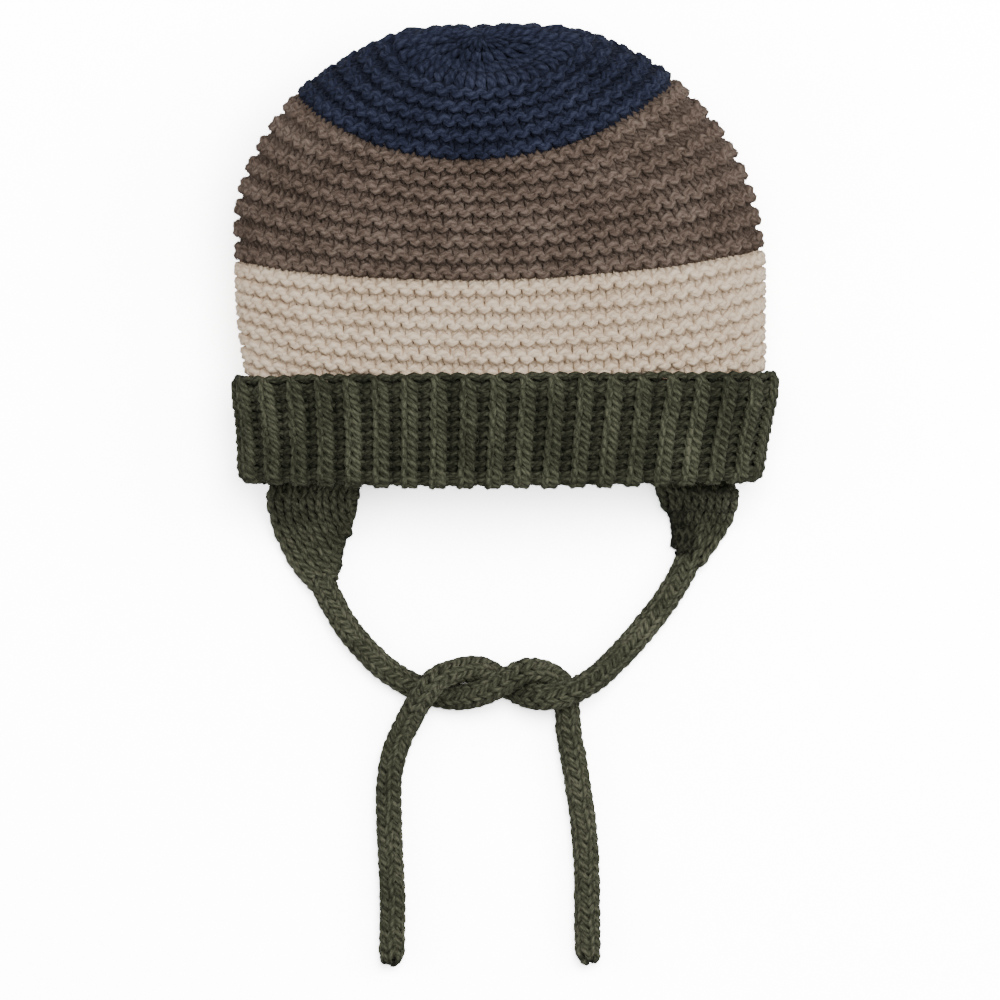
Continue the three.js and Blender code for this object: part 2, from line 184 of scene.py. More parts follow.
def point_at_angle(angle, distance):
    share = np.clip(np.asarray(distance, float) / FABRIC_LENGTH, 0, 1)
    half, middle, side_y, lean, side_z, front_y, front_z, back_y, back_z, lowest = np.moveaxis(
        columns_at(RINGS, share), -1, 0)
    across = np.cos(angle)
    out = np.abs(np.sin(angle))
    front = np.sin(angle) >= 0
    flatness = smoothstep(share, TAUPE_END / FABRIC_LENGTH, NAVY_RIDGES_END / FABRIC_LENGTH)
    end_y = np.where(front, front_y, back_y)
    end_z = np.where(front, front_z, back_z)
    power = np.where(front, FRONT_POWER, BACK_POWER)
    sag = out ** (SAG_POWER + (CROWN_POWER - SAG_POWER) * flatness)
    rise = out ** (power + (CROWN_POWER - power) * flatness)
    x = (middle + np.maximum(half, 0) * across) * HAT_WIDTH / 2
    y = (side_y + lean * across + (end_y - side_y) * sag) * HAT_HEIGHT - RIM_TO_ORIGIN
    z = np.maximum(side_z + (end_z - side_z) * rise, np.maximum(lowest, 0)) * HAT_RISE
    for hollow_x, hollow_y, long, broad, deep in HOLLOWS:
        away = ((x - hollow_x) / long) ** 2 + ((y - hollow_y) / broad) ** 2
        z = z - np.where(front, deep * np.exp(-away), 0)
    return np.stack([x, y, z], -1)


def even_turns():
    """Shares of the way round the widest ring at evenly spaced angles."""
    angles = np.linspace(0, TAU, 1441)
    steps = np.linalg.norm(np.diff(point_at_angle(angles, np.full(1441, CREAM_END)), axis=0), axis=1)
    return angles, np.concatenate([[0], np.cumsum(steps)]) / steps.sum()


TURN_ANGLES, TURN_SHARES = even_turns()


def body_point(turn, distance):
    turn, distance = np.broadcast_arrays(turn, distance)
    return point_at_angle(np.interp(turn % 1.0, TURN_SHARES, TURN_ANGLES), distance)


def unit(vectors):
    return vectors / np.maximum(np.linalg.norm(vectors, axis=-1, keepdims=True), 1e-12)


def body_normal(turn, distance):
    """Outward way: square to the face, and away from the hat's room where the crown is gathered."""
    turn, distance = np.broadcast_arrays(turn, distance)
    step = 0.014 * FABRIC_LENGTH
    middle = np.clip(distance, step, FABRIC_LENGTH - 2 * step)
    round_way = body_point(turn + 0.012, middle) - body_point(turn - 0.012, middle)
    up_way = body_point(turn, middle + step) - body_point(turn, middle - step)
    square = unit(np.cross(up_way, round_way))
    core = np.array([-0.054 * HAT_WIDTH / 2, 0.842 * HAT_HEIGHT - RIM_TO_ORIGIN, 0.5 * HAT_RISE])
    flat = smoothstep(distance, TAUPE_END, NAVY_RIDGES_END)[..., None]
    return unit(square * (1 - flat) + unit(body_point(turn, distance) - core) * flat)


def off_body(turn, distance, offset):
    """A point off the body's outer face: offset is positive outwards."""
    return body_point(turn, distance) + body_normal(turn, distance) * np.asarray(offset)[..., None]


# Course lines

def runs(keep):
    """Index lists of the kept stretches of a ring."""
    if not keep.any():
        return []
    first = int(np.argmin(keep))
    order = (np.arange(len(keep)) + first) % len(keep)
    breaks = np.flatnonzero(np.diff(keep[order].astype(int))) + 1
    return [part for part in np.split(order, breaks) if keep[part[0]] and len(part) > 3]


class Courses:
    """Lines of knitting with the directions that the yarn loops need, gathered for one mesh."""

    def __init__(self):
        self.points, self.edges = [], []
        self.rows = {name: [] for name in ("course", "wale", "out", "phase", "foot", "head", "rib", "plump")}
        self.count = 0

    def add(self, points, course, wale, out, phase, foot, head, closed=True, rib=0.0, keep=None, plump=1.0):
        """One line: course is one stitch wide and wale one row high at each point, kept points only."""
        n = len(points)
        if keep is not None and not keep.all():
            foot, head, rib, plump = (np.broadcast_to(value, n) for value in (foot, head, rib, plump))
            for run in runs(keep):
                self.add(points[run], course[run], wale[run], out[run], phase[run], foot[run], head[run],
                         closed=False, rib=rib[run], plump=plump[run])
            return
        values = {"course": course, "wale": wale, "out": out, "phase": phase, "foot": foot, "head": head,
                  "rib": rib, "plump": plump}
        for name, value in values.items():
            value = np.asarray(value, float)
            self.rows[name].append(value if value.ndim == 2 else np.broadcast_to(value, n))
        first = np.arange(n if closed else n - 1)
        self.edges.append(self.count + np.stack([first, (first + 1) % n], -1))
        self.points.append(points)
        self.count += n

    def mesh(self, name):
        mesh = bpy.data.meshes.new(name)
        points = np.concatenate(self.points)
        edges = np.concatenate(self.edges)
        mesh.vertices.add(len(points))
        mesh.vertices.foreach_set("co", points.astype(np.float32).ravel())
        mesh.edges.add(len(edges))
        mesh.edges.foreach_set("vertices", edges.astype(np.int32).ravel())
        for key, parts in self.rows.items():
            values = np.concatenate(parts).astype(np.float32)
            kind, field = ("FLOAT_VECTOR", "vector") if values.ndim == 2 else ("FLOAT", "value")
            mesh.attributes.new(key, kind, "POINT").data.foreach_set(field, values.ravel())
        mesh.update()
        return mesh


# Geometry Nodes

class Tree:
    """Short ways to write down a node tree."""

    def __init__(self, tree):
        self.tree = tree

    def node(self, kind, settings=None, **inputs):
        made = self.tree.nodes.new(kind)
        for key, value in (settings or {}).items():
            setattr(made, key, value)
        for key, value in inputs.items():
            self.put(made, key, value)
        return made

    def first(self, kind, settings=None, **inputs):
        return self.node(kind, settings, **inputs).outputs[0]

    def put(self, made, key, value):
        """Links or sets an input, by its name with _ for spaces, or as i0, i1 or i2 by its place."""
        key = int(key[1:]) if key[0] == "i" and key[1:].isdigit() else key.replace("_", " ")
        socket = made.inputs[key]
        if isinstance(value, bpy.types.NodeSocket):
            self.tree.links.new(value, socket)
        else:
            socket.default_value = value

    def math(self, operation, a, b=0.0):
        return self.first("ShaderNodeMath", {"operation": operation}, i0=a, i1=b)

    def times(self, a, b):
        return self.math("MULTIPLY", a, b)

    def plus(self, a, b):
        return self.math("ADD", a, b)

    def vector(self, operation, a, b=None, scale=None):
        made = self.node("ShaderNodeVectorMath", {"operation": operation}, i0=a)
        if b is not None:
            self.put(made, "i1", b)
        if scale is not None:
            self.put(made, "Scale", scale)
        return made.outputs["Value" if operation == "DOT_PRODUCT" else "Vector"]

    def noise(self, place, scale, detail, roughness=0.5, output="Fac"):
        made = self.node("ShaderNodeTexNoise", Vector=place, Scale=scale, Detail=detail, Roughness=roughness)
        return made.outputs[output]

    def named(self, name, kind="FLOAT"):
        made = self.node("GeometryNodeInputNamedAttribute", {"data_type": kind}, Name=name)
        return made.outputs["Attribute"]

    def store(self, geometry, name, value, kind="FLOAT"):
        return self.first("GeometryNodeStoreNamedAttribute", {"data_type": kind, "domain": "POINT"},
                          Geometry=geometry, Name=name, Value=value)


def new_group(name, numbers, counts):
    """A new geometry tree with named inputs, and those inputs' sockets."""
    tree = bpy.data.node_groups.new(name, "GeometryNodeTree")
    face = tree.interface
    face.new_socket("Geometry", in_out="INPUT", socket_type="NodeSocketGeometry")
    face.new_socket("Geometry", in_out="OUTPUT", socket_type="NodeSocketGeometry")
    for kind, sockets in (("Float", numbers), ("Int", counts)):
        for key, default in sockets.items():
            socket = face.new_socket(key, in_out="INPUT", socket_type="NodeSocket" + kind)
            socket.default_value = default
    face.new_socket("Material", in_out="INPUT", socket_type="NodeSocketMaterial")
    t = Tree(tree)
    return t, t.node("NodeGroupInput").outputs


def end_group(t, geometry, given):
    """The tree's last nodes: real geometry in the given material."""
    made = t.first("GeometryNodeRealizeInstances", Geometry=geometry)
    made = t.first("GeometryNodeSetMaterial", Geometry=made, Material=given["Material"])
    t.node("NodeGroupOutput", Geometry=made)
    return t.tree


def yarn_tree():
    """Tree that bends course lines into loops and gives them the yarn's thickness."""
    t, given = new_group("Knitted courses", {
        "Yarn Radius": 0.0012, "Loop Height": 1.0, "Loop Waist": 0.16, "Loop Depth": 0.001, "Lean": 0.0,
        "Rib Depth": 0.0, "Bulge": 0.0, "Jitter": 0.0002, "Drift": 0.0004}, {"Seed": 1, "Sides": 6})
    phase, foot, head, rib, plump = (t.named(name) for name in ("phase", "foot", "head", "rib", "plump"))
    course, wale, out = (t.named(name, "FLOAT_VECTOR") for name in ("course", "wale", "out"))

    # Place in the loop: up the row, across the stitch, and in front of the fabric
    cos1 = t.math("COSINE", phase)
    cos2 = t.math("COSINE", t.times(phase, 2.0))
    sin2 = t.math("SINE", t.times(phase, 2.0))
    up = t.times(t.times(cos1, -1.0), given["Loop Height"])
    across = t.plus(t.times(sin2, given["Loop Waist"]), t.times(up, given["Lean"]))
    same = t.times(t.plus(foot, head), 0.5)
    mixed = t.times(t.math("SUBTRACT", foot, head), 0.5)
    front = t.times(t.plus(t.times(same, cos2), t.times(mixed, cos1)), -1.0)
    thickness = t.times(t.plus(t.times(front, given["Bulge"]), 1.0), plump)
    depth = t.times(t.times(front, given["Loop Depth"]), plump)
    depth = t.plus(depth, t.times(rib, given["Rib Depth"]))
    # Painted shade: recessed ribs make the yarn's colour darker.
    front = t.plus(front, t.times(rib, RIB_SHADE))
    offset = t.vector("ADD", t.vector("SCALE", course, scale=across), t.vector("SCALE", wale, scale=up))
    offset = t.vector("ADD", offset, t.vector("SCALE", out, scale=depth))

    # Unevenness, of single loops and of whole stretches
    place = t.first("GeometryNodeInputPosition")
    shift = t.first("ShaderNodeCombineXYZ", X=t.times(given["Seed"], 0.37))
    place = t.vector("ADD", place, shift)
    for name, scale in (("Jitter", 230.0), ("Drift", 26.0)):
        wave = t.vector("SUBTRACT", t.noise(place, scale, 1.0, output="Color"), (0.5, 0.5, 0.5))
        offset = t.vector("ADD", offset, t.vector("SCALE", wave, scale=t.times(given[name], 4.0)))

    moved = t.first("GeometryNodeSetPosition", Geometry=given["Geometry"], Offset=offset)
    lines = t.first("GeometryNodeMeshToCurve", Mesh=moved)
    reach = t.node("GeometryNodeSplineParameter").outputs
    lines = t.store(lines, "yarn_length", reach["Length"])
    # Painted shade: how far forward each loop lies is stored so that the wool can darken its colour where the
    # loops lie further back.
    lines = t.store(lines, "painted_shade_front", front)
    ring = t.first("GeometryNodeCurvePrimitiveCircle", Resolution=given["Sides"], Radius=given["Yarn Radius"])
    angle = t.times(reach["Factor"], TAU)
    round_way = t.first("ShaderNodeCombineXYZ", X=t.math("COSINE", angle), Y=t.math("SINE", angle))
    ring = t.store(ring, "yarn_round", round_way, "FLOAT_VECTOR")
    yarn = t.first("GeometryNodeCurveToMesh", Curve=lines, Profile_Curve=ring, Scale=thickness,
                   Fill_Caps=True)
    return end_group(t, t.first("GeometryNodeSetShadeSmooth", Geometry=yarn), given)


def knit(courses, name, material, **inputs):
    """The named piece of yarn that the tree makes of course lines, as a plain mesh."""
    tree = bpy.data.node_groups.get("Knitted courses") or yarn_tree()
    lines = courses.mesh(name + "_courses")
    given = {key.replace("_", " ").title(): value for key, value in inputs.items()}
    piece = plain_copy(name, lines, tree, {**given, "Material": material})
    bpy.data.meshes.remove(lines)
    return piece


def fibre_tree():
    """Tree that lets short bent fibres stand out of the yarn's outer side."""
    t, given = new_group("Loose fibres", {"Density": 100000.0, "Length": 0.002}, {"Seed": 1})
    seed = given["Seed"]
    facing = t.vector("DOT_PRODUCT", t.first("GeometryNodeInputNormal"), t.named("out", "FLOAT_VECTOR"))
    roots = t.node("GeometryNodeDistributePointsOnFaces", Mesh=given["Geometry"], Density=given["Density"],
                   Seed=seed, Selection=t.math("GREATER_THAN", facing, 0.1)).outputs
    turned = t.first("FunctionNodeRandomValue", {"data_type": "FLOAT_VECTOR"}, i0=(-0.9, -0.9, 0.0),
                     i1=(0.9, 0.9, TAU), Seed=seed)
    turned = t.first("FunctionNodeEulerToRotation", Euler=turned)
    turned = t.first("FunctionNodeRotateRotation", {"rotation_space": "LOCAL"}, Rotation=roots["Rotation"],
                     Rotate_By=turned)
    size = t.node("FunctionNodeRandomValue", {"data_type": "FLOAT"}, i2=0.4, i3=1.0, Seed=seed).outputs[1]
    bent = t.first("GeometryNodeCurveQuadraticBezier", Resolution=2, Start=(0, 0, 0), Middle=(0.05, 0, 0.55),
                   End=(0.5, 0, 0.8))
    ring = t.first("GeometryNodeCurvePrimitiveCircle", Resolution=3, Radius=0.013)
    fibre = t.first("GeometryNodeCurveToMesh", Curve=bent, Profile_Curve=ring, Fill_Caps=True)
    hairs = t.first("GeometryNodeInstanceOnPoints", Points=roots["Points"], Instance=fibre, Rotation=turned,
                    Scale=t.times(size, given["Length"]))
    return end_group(t, hairs, given)


def plain_copy(name, mesh, tree, inputs):
    """A piece made from a mesh by a tree, as a plain mesh."""
    source = bpy.data.objects.new(name + "_source", mesh)
    bpy.context.scene.collection.objects.link(source)
    modifier = source.modifiers.new("Knitting", "NODES")
    modifier.node_group = tree
    sockets = {item.name: item.identifier for item in tree.interface.items_tree if item.in_out == "INPUT"}
    for key, value in inputs.items():
        modifier[sockets[key]] = value
    depsgraph = bpy.context.evaluated_depsgraph_get()
    made = bpy.data.meshes.new_from_object(source.evaluated_get(depsgraph), depsgraph=depsgraph)
    made.name = name
    bpy.data.objects.remove(source)
    piece = bpy.data.objects.new(name, made)
    bpy.context.scene.collection.objects.link(piece)
    return piece


def fuzz(piece, colour, yarn):
    """Loose fibres of a piece of yarn, as a piece of their own."""
    areas = np.empty(len(piece.data.polygons))
    piece.data.polygons.foreach_get("area", areas)
    tree = bpy.data.node_groups.get("Loose fibres") or fibre_tree()
    density = yarn.fibres * len(piece.data.vertices) / areas.sum() * 2
    hairs = plain_copy(piece.name.replace("knitting", "fibres"), piece.data, tree, {
        "Density": float(density), "Length": yarn.fibre_length, "Seed": yarn.seed,
        "Material": material_of(colour, "fibre")})
    settle(hairs, colour)


def strip_faces(rows, count, joined=False):
    """Faces between neighbouring rings of count points. Joined also links the last ring to the first."""
    here = np.arange(rows * count).reshape(rows, count)
    above = np.roll(here, -1, 0)
    if not joined:
        here, above = here[:-1], above[:-1]
    corners = np.stack([here, np.roll(here, -1, 1), np.roll(above, -1, 1), above], -1)
    return [tuple(face) for face in corners.reshape(-1, 4).tolist()]


def capped_faces(rows, count):
    """Faces of a tube that is closed at both ends."""
    first, last = range(count - 1, -1, -1), range((rows - 1) * count, rows * count)
    return [*strip_faces(rows, count), tuple(first), tuple(last)]


def mesh_object(name, points, faces, material, uvs=None):
    mesh = bpy.data.meshes.new(name)
    mesh.from_pydata([tuple(p) for p in points], [], [tuple(f) for f in faces])
    if uvs is not None:
        layer = mesh.uv_layers.new(name="stitch")
        corners = np.empty(len(mesh.loops), int)
        mesh.loops.foreach_get("vertex_index", corners)
        layer.data.foreach_set("uv", np.asarray(uvs, np.float32)[corners].ravel())
    mesh.materials.append(material)
    mesh.polygons.foreach_set("use_smooth", [True] * len(mesh.polygons))
    mesh.update()
    piece = bpy.data.objects.new(name, mesh)
    bpy.context.scene.collection.objects.link(piece)
    return piece


# Materials

def new_material(name):
    material = bpy.data.materials.new(name)
    material.use_nodes = True
    material.node_tree.nodes.clear()
    t = Tree(material.node_tree)
    surface = t.node("ShaderNodeBsdfPrincipled")
    t.node("ShaderNodeOutputMaterial", Surface=surface.outputs[0])
    return material, t, surface


def colour_ramp(t, value, low, half, high):
    """Colours by a value. Each stop is a place and a colour."""
    ramp = t.node("ShaderNodeValToRGB", Fac=value)
    stops = ramp.color_ramp.elements
    for stop, (place, colour) in zip(stops, (low, high)):
        stop.position, stop.color = place, (*colour, 1)
    stops.new(half[0]).color = (*half[1], 1)
    return ramp.outputs[0]


def wool(name, dark, middle, light, sheen, shade):
    """Plied wool: helical plies and fine fibres from the yarn's own length and round way."""
    material, t, surface = new_material(name)
    length = t.node("ShaderNodeAttribute", {"attribute_name": "yarn_length"}).outputs["Fac"]
    front = t.node("ShaderNodeAttribute", {"attribute_name": "painted_shade_front"}).outputs["Fac"]
    round_way = t.node("ShaderNodeAttribute", {"attribute_name": "yarn_round"}).outputs["Vector"]
    cosine, sine, _ = t.node("ShaderNodeSeparateXYZ", Vector=round_way).outputs
    twist = t.plus(t.times(t.math("ARCTAN2", sine, cosine), 3.0), t.times(length, TAU / PLY_LENGTH))
    ply = t.math("ABSOLUTE", t.math("SINE", t.times(twist, 0.5)))
    place = t.node("ShaderNodeTexCoord").outputs["Object"]
    along = t.first("ShaderNodeCombineXYZ", X=cosine, Y=sine, Z=t.times(length, 160.0))
    fibre = t.noise(along, 2.6, 4.0, 0.7)
    patch = t.noise(place, 55.0, 3.0, 0.6)
    fine = t.noise(place, 1900.0, 2.0, 0.8)
    mix = t.plus(t.plus(t.times(fibre, 0.5), t.times(patch, 0.25)), t.times(fine, 0.25))
    # Painted shade: the grooves between the plies are darker.
    mix = t.plus(mix, t.times(t.math("SUBTRACT", ply, 0.64), 0.12))
    colour = colour_ramp(t, mix, (0.36, dark), (0.5, middle), (0.64, light))
    # Painted shade: the colour is darkened where the loops lie further back, down to the given brightness
    # deep between the loops.
    depth = t.first("ShaderNodeMapRange", Value=front, From_Min=-1.2, From_Max=0.6, To_Min=shade)
    t.put(surface, "Base_Color", t.vector("SCALE", colour, scale=depth))
    t.put(surface, "Roughness", 0.95)
    t.put(surface, "Specular_IOR_Level", 0.15)
    t.put(surface, "Sheen_Weight", sheen)
    t.put(surface, "Sheen_Roughness", 0.6)
    t.put(surface, "Sheen_Tint", (*light, 1))
    height = t.plus(t.plus(t.times(ply, 0.7), t.times(fibre, 0.6)), t.times(fine, 0.35))
    t.put(surface, "Normal", t.first("ShaderNodeBump", Height=height, Strength=0.7, Distance=0.0004))
    return material


def fabric(name, dark, middle, light):
    """Fabric behind the yarn, with purl bumps by its UV: one unit is one stitch across and one row up."""
    material, t, surface = new_material(name)
    uv = t.first("ShaderNodeUVMap", {"uv_map": "stitch"})
    u, v, _ = t.node("ShaderNodeSeparateXYZ", Vector=uv).outputs
    place = t.node("ShaderNodeTexCoord").outputs["Object"]
    shifted = t.plus(t.times(u, TAU), t.times(t.math("FLOOR", v), math.pi))
    arc = t.times(t.math("COSINE", shifted), 0.22)
    bump_row = t.math("ABSOLUTE", t.math("SINE", t.times(t.plus(v, arc), math.pi)))
    fine = t.noise(place, 1300.0, 3.0, 0.8)
    patch = t.noise(place, 120.0, 3.0)
    # Painted shade: the colour is darker between the purl bumps.
    mix = t.plus(t.times(bump_row, 0.4), t.plus(t.times(fine, 0.35), t.times(patch, 0.25)))
    t.put(surface, "Base_Color", colour_ramp(t, mix, (0.2, dark), (0.55, middle), (0.85, light)))
    t.put(surface, "Roughness", 0.95)
    t.put(surface, "Specular_IOR_Level", 0.1)
    height = t.plus(bump_row, t.times(fine, 0.4))
    t.put(surface, "Normal", t.first("ShaderNodeBump", Height=height, Strength=0.9, Distance=0.0012))
    return material


# Columns: slot, dark, middle and light colour of the yarn, sheen, and the brightness of the painted shade
# deep between the loops
WOOLS = {
    "navy": ("navy_wool", (0.003, 0.004, 0.009), (0.013, 0.016, 0.034), (0.035, 0.041, 0.072), 0.07, 0.3),
    "taupe": ("taupe_wool", (0.036, 0.024, 0.017), (0.098, 0.07, 0.054), (0.18, 0.138, 0.112), 0.06, 0.5),
    "cream": ("cream_wool", (0.42, 0.315, 0.22), (0.63, 0.49, 0.35), (0.75, 0.63, 0.49), 0.06, 0.55),
    "green": (
        "green_wool", (0.01, 0.0105, 0.0055), (0.037, 0.0395, 0.0235), (0.104, 0.106, 0.07), 0.07, 0.12),
    # A lighter copy of the same green wool, for the cords and flaps: painted light.
    "lit_green": (
        "green_wool", (0.0125, 0.013, 0.0068), (0.047, 0.0495, 0.0305), (0.132, 0.133, 0.09), 0.07, 0.16),
}


def material_of(colour, kind):
    """The yarn, fibre or fabric material of a colour."""
    name = f"{colour}_{kind}"
    found = bpy.data.materials.get(name)
    if found:
        return found
    slot, dark, middle, light, sheen, shade = WOOLS[colour]
    if kind == "yarn":
        return wool(name, dark, middle, light, sheen, shade)
    if kind == "fibre":
        material, t, surface = new_material(name)
        t.put(surface, "Base_Color", (*light, 1))
        t.put(surface, "Roughness", 0.9)
        return material
    # Painted shade: the fabric behind the loops takes the yarn's tones, darkened, for the shade in the gaps
    # between the loops.
    share = 0.5 if slot in {"navy_wool", "green_wool"} else 0.8
    tones = [[c * share * s for c in tone] for tone, s in ((dark, 0.6), (middle, 0.8), (light, 0.9))]
    return fabric(name, *tones)


def settle(piece, colour, *nodes):
    """Attaches a finished piece to the body and hides the solids that it stands for."""
    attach(piece, "root")
    if nodes:
        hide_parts(*nodes)


# Pieces of the body

def round_turns(distance, count):
    """Turns at evenly spaced points of the round at a distance, and the round's length."""
    turn = np.linspace(0, 1, 721)
    steps = np.linalg.norm(np.diff(body_point(turn, np.full(721, distance)), axis=0), axis=1)
    shares = np.concatenate([[0], np.cumsum(steps)]) / steps.sum()
    return np.interp(np.arange(count) / count, shares, turn), steps.sum()


def one_stitch(points):
    """The way along a closed line, one stitch long."""
    return (np.roll(points, -1, 0) - np.roll(points, 1, 0)) / 2 * PER_STITCH


def body_course(courses, turn, distance, spacing, foot, head, depth, plumpest=1.0):
    """One round of knitting on the body. Distance and spacing between rows are given for each point, and
    depth lies under the outer face. What would start below the cuff's inner leg's edge is left out."""
    n = len(turn)
    here, gap = np.broadcast_to(distance, n), np.broadcast_to(spacing, n)
    above, below = np.minimum(here + gap / 2, FABRIC_LENGTH), here - gap / 2
    depths = np.full(n, -depth)
    points = off_body(turn, here, depths)
    wale = (off_body(turn, above, depths) - off_body(turn, below, depths)) * (gap / (above - below))[:, None]
    course = one_stitch(points)
    room = np.minimum(np.linalg.norm(wale, axis=1) / FULL_ROW, np.linalg.norm(course, axis=1) / FULL_STITCH)
    courses.add(points, course, wale, body_normal(turn, here), np.arange(n) / PER_STITCH * TAU, foot, head,
                keep=here > CUFF_HEIGHT - 0.0015, plump=np.clip(room, 0.5, plumpest))


def garter(courses, end, ridges, pitch, width, depth):
    """Garter ridges from the end down: a plain round then a purl one for each. Pitch is a ridge's height,
    at the sides and back and at the front."""
    for k in range(ridges):
        middle = end - (k + 0.5) * pitch[0]
        length = round_turns(middle, 1)[1]
        turn = round_turns(middle, round(length / width) * PER_STITCH)[0]
        front = np.maximum(np.sin(np.interp(turn, TURN_SHARES, TURN_ANGLES)), 0) ** 1.5
        ridge = pitch[0] + (pitch[1] - pitch[0]) * front
        body_course(courses, turn, end - (k + 0.75) * ridge, ridge / 2, 1, -1, depth)
        body_course(courses, turn, end - (k + 0.25) * ridge, ridge / 2, -1, 1, depth)


def shell(name, start, end, colour, rows, ridge, closed_end, stitches=84):
    """Fabric behind the yarn: an outer face under the loops and the inner face of the hat."""
    count = stitches * 3
    turn = np.arange(count) / count
    section = [(start + (end - start) * k / rows, GROUND_DEPTH) for k in range(rows + 1)]
    section += [(start + (end - start) * k / rows, INNER_DEPTH) for k in range(rows, -1, -1)]
    points, uvs = [], []
    for distance, depth in section:
        place = off_body(turn, np.full(count, distance), np.full(count, -depth))
        place[:, 2] = np.maximum(place[:, 2], min(depth, WALL - 0.0002))
        points.append(place)
        uvs.append(np.stack([turn * stitches, np.full(count, distance / ridge)], -1))
    points, uvs = np.concatenate(points), np.concatenate(uvs)
    faces = strip_faces(len(section), count, joined=True)
    if closed_end:
        points, uvs, faces = closed_at_centre(points, uvs, faces, rows, count)
    piece = mesh_object(name, points, faces, material_of(colour, "fabric"), uvs)
    outward(piece)
    return piece


def closed_at_centre(points, uvs, faces, rows, count):
    """The crown's two faces, each ending in a fan at its centre instead of meeting there."""
    kept = [f for f in faces if not {i // count for i in f} == {rows, rows + 1}]
    for ring, turned in ((rows, False), (rows + 1, True)):
        centre = len(points)
        members = np.arange(ring * count, (ring + 1) * count)
        points = np.vstack([points, points[members].mean(0)])
        uvs = np.vstack([uvs, uvs[members].mean(0)])
        for j in range(count):
            a, b = members[j], members[(j + 1) % count]
            kept.append((centre, b, a) if turned else (centre, a, b))
    return points, uvs, kept


def outward(piece):
    """Turns a closed piece's faces so that they point outwards."""
    mesh = bmesh.new()
    mesh.from_mesh(piece.data)
    bmesh.ops.recalc_face_normals(mesh, faces=mesh.faces)
    if mesh.calc_volume(signed=True) < 0:
        bmesh.ops.reverse_faces(mesh, faces=mesh.faces)
    mesh.to_mesh(piece.data)
    mesh.free()
    piece.data.update()


# The cuff: its fold is half a ring, between an outer and an inner leg
FOLD_RADIUS = WALL + CUFF_SLIT / 2
FOLD_ARC = math.pi * FOLD_RADIUS
CUFF_LEG = CUFF_HEIGHT - FOLD_RADIUS
CUFF_ROWS = 16
CUFF_TURN = 0.61 * 2


def cuff_place(turn, way, depth):
    """A point of the cuff at a way down the outer leg, round the fold and up inside, under its face."""
    angle = np.clip((way - CUFF_LEG) / FOLD_RADIUS, 0, math.pi)
    on_fold = FOLD_RADIUS - (FOLD_RADIUS - depth) * np.sin(angle)
    inside = FOLD_RADIUS + way - CUFF_LEG - FOLD_ARC
    past_leg = np.where(way < CUFF_LEG + FOLD_ARC, on_fold, inside)
    distance = np.where(way < CUFF_LEG, CUFF_HEIGHT - way, past_leg)
    offset = CUFF_SLIT + WALL - FOLD_RADIUS + (FOLD_RADIUS - depth) * np.cos(angle)
    place = off_body(turn, distance, offset)
    place[..., 2] = np.maximum(place[..., 2], depth)
    return place


def cuff_course(courses, way, stitches, spacing, depth):
    """One round of rib: a plain and a purl stitch by turns, flatter at the edge and over the fold."""
    n = stitches * PER_STITCH
    turn = np.arange(n) / n - CUFF_TURN / stitches
    ways = np.full(n, way)
    points = cuff_place(turn, ways, depth)
    wale = cuff_place(turn, ways + spacing / 2, depth) - cuff_place(turn, ways - spacing / 2, depth)
    course = one_stitch(points)
    phase = np.arange(n) / PER_STITCH * TAU
    rib = np.sin(phase / 2)
    kind = np.clip(rib * 2.5, -1, 1)
    fold = CUFF_HEIGHT + (math.pi / 2 - 1) * FOLD_RADIUS
    rib = rib * (0.4 + 0.6 * smoothstep(way, 0, 0.006)) * (1 - 0.6 * math.exp(-((way - fold) / 0.0045) ** 2))
    # Besides its depth, the rib value gives the purl columns painted shade.
    courses.add(points, course, wale, unit(np.cross(course, wale)), phase, kind, kind, rib=rib)


# Add-on

class HatYarn(bpy.types.PropertyGroup):
    radius: FloatProperty(name="Yarn radius", description="Half the thickness of the yarn", default=0.00143,
                          unit="LENGTH")
    stitch: FloatProperty(name="Stitch width", description="Width of one stitch on the body", default=0.0054,
                          unit="LENGTH")
    jitter: FloatProperty(name="Unevenness", description="How far the loops wander", default=0.00025,
                          unit="LENGTH")
    seed: IntProperty(name="Seed", description="Seed of the unevenness", default=7)
    fibres: FloatProperty(name="Loose fibres", description="Loose fibres for each point of the yarn's mesh",
                          default=0.045, min=0.0)
    fibre_length: FloatProperty(name="Fibre length", description="Length of the longest loose fibres",
                                default=0.0026, unit="LENGTH")


class HatBands(bpy.types.PropertyGroup):
    cream_ridges: IntProperty(name="Cream ridges", description="Garter ridges of the cream band", default=8)
    taupe_ridges: IntProperty(name="Taupe ridges", description="Garter ridges of the taupe band", default=8)
    navy_ridges: IntProperty(name="Navy ridges", description="Garter ridges of the crown", default=5)
    loop_depth: FloatProperty(name="Loop depth", description="How far loops bulge out of the fabric",
                              default=0.0015, unit="LENGTH")


class HatCuff(bpy.types.PropertyGroup):
    stitches: IntProperty(name="Stitches", description="Stitches round the cuff", default=84)
    row: FloatProperty(name="Row height", description="Height of one row", default=0.0033, unit="LENGTH")
    rib_depth: FloatProperty(name="Rib depth", description="How far plain ribs stand out", default=0.0016,
                             unit="LENGTH")


